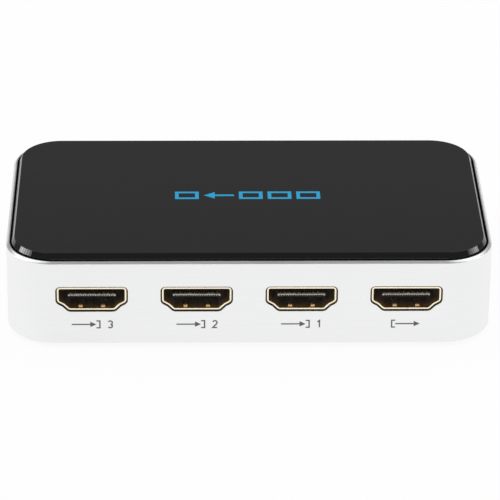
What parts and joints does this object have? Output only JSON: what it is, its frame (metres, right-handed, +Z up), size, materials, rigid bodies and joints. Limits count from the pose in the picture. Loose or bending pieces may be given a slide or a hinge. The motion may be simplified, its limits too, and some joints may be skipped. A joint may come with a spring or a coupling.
{
  "type": "hdmi switch box",
  "caption": "Flat video switch box with a brushed aluminium band, a bevelled gloss black cover, a row of gold-rimmed sockets on one long side and a select button on the other.",
  "frame": {"origin": "bottom centre of the box, on the plane of its feet", "axes": "+Z up, sockets face -Y, select button faces +Y, +X to the right when looking at the sockets"},
  "size_m": [0.104, 0.0606, 0.0217],
  "materials": {
    "band_aluminium": "fine brushed and clear anodised",
    "cover_gloss": "polished gloss black",
    "tray_plastic": "fine spark-eroded texture",
    "foot_rubber": "soft matt",
    "screw_steel": "zinc plated",
    "board_laminate": "solder mask",
    "shell_gold": "gold plated, bright",
    "tongue_plastic": "moulded, satin",
    "contact_metal": "plated",
    "chip_epoxy": "moulded epoxy",
    "lamp_clear": "clear",
    "guide_clear": "clear acrylic",
    "ceramic": "fired ceramic",
    "can_metal": "drawn can",
    "ir_tint": "dark tinted, polished",
    "button_plastic": "satin black",
    "switch_plastic": "moulded",
    "switch_steel": "bright sheet",
    "inlet_plastic": "moulded"
  },
  "bodies": {
    "housing": {"case_band": "band_aluminium", "top_cover": "cover_gloss", "bottom_tray": "tray_plastic", "foot_rear_left": "foot_rubber", "foot_rear_right": "foot_rubber", "foot_front_left": "foot_rubber", "foot_front_right": "foot_rubber", "case_screws": "screw_steel", "board_screws": "screw_steel", "circuit_board": "board_laminate", "input_3_shell": "shell_gold", "input_3_tongue": "tongue_plastic", "input_3_contacts": "contact_metal", "guard_chip_input_3": "chip_epoxy", "input_2_shell": "shell_gold", "input_2_tongue": "tongue_plastic", "input_2_contacts": "contact_metal", "guard_chip_input_2": "chip_epoxy", "input_1_shell": "shell_gold", "input_1_tongue": "tongue_plastic", "input_1_contacts": "contact_metal", "guard_chip_input_1": "chip_epoxy", "output_shell": "shell_gold", "output_tongue": "tongue_plastic", "output_contacts": "contact_metal", "guard_chip_output": "chip_epoxy", "lamp_1": "lamp_clear", "lamp_2": "lamp_clear", "lamp_3": "lamp_clear", "light_guide_1": "guide_clear", "light_guide_2": "guide_clear", "light_guide_3": "guide_clear", "capacitor_1": "ceramic", "capacitor_2": "ceramic", "capacitor_3": "ceramic", "capacitor_4": "ceramic", "switch_chip": "chip_epoxy", "control_chip": "chip_epoxy", "regulator": "chip_epoxy", "ir_receiver": "chip_epoxy", "crystal": "can_metal", "reservoir_capacitor": "can_metal", "ir_window": "ir_tint", "switch_base": "switch_plastic", "switch_dome": "switch_steel", "switch_frame": "switch_steel", "inlet_pin": "switch_steel", "inlet_leaf": "switch_steel", "inlet_body": "inlet_plastic"},
    "select_button": {"button_cap": "button_plastic", "switch_plunger": "switch_plastic"}
  },
  "joints": [
    {"name": "button_press", "type": "slide", "parent": "housing", "child": "select_button", "axis": [0, -1, 0], "range_m": [0, 0.0003], "stiffness_N_per_m": 800, "springref_m": -0.0005, "deforming": ["switch_dome"]}
  ]
}
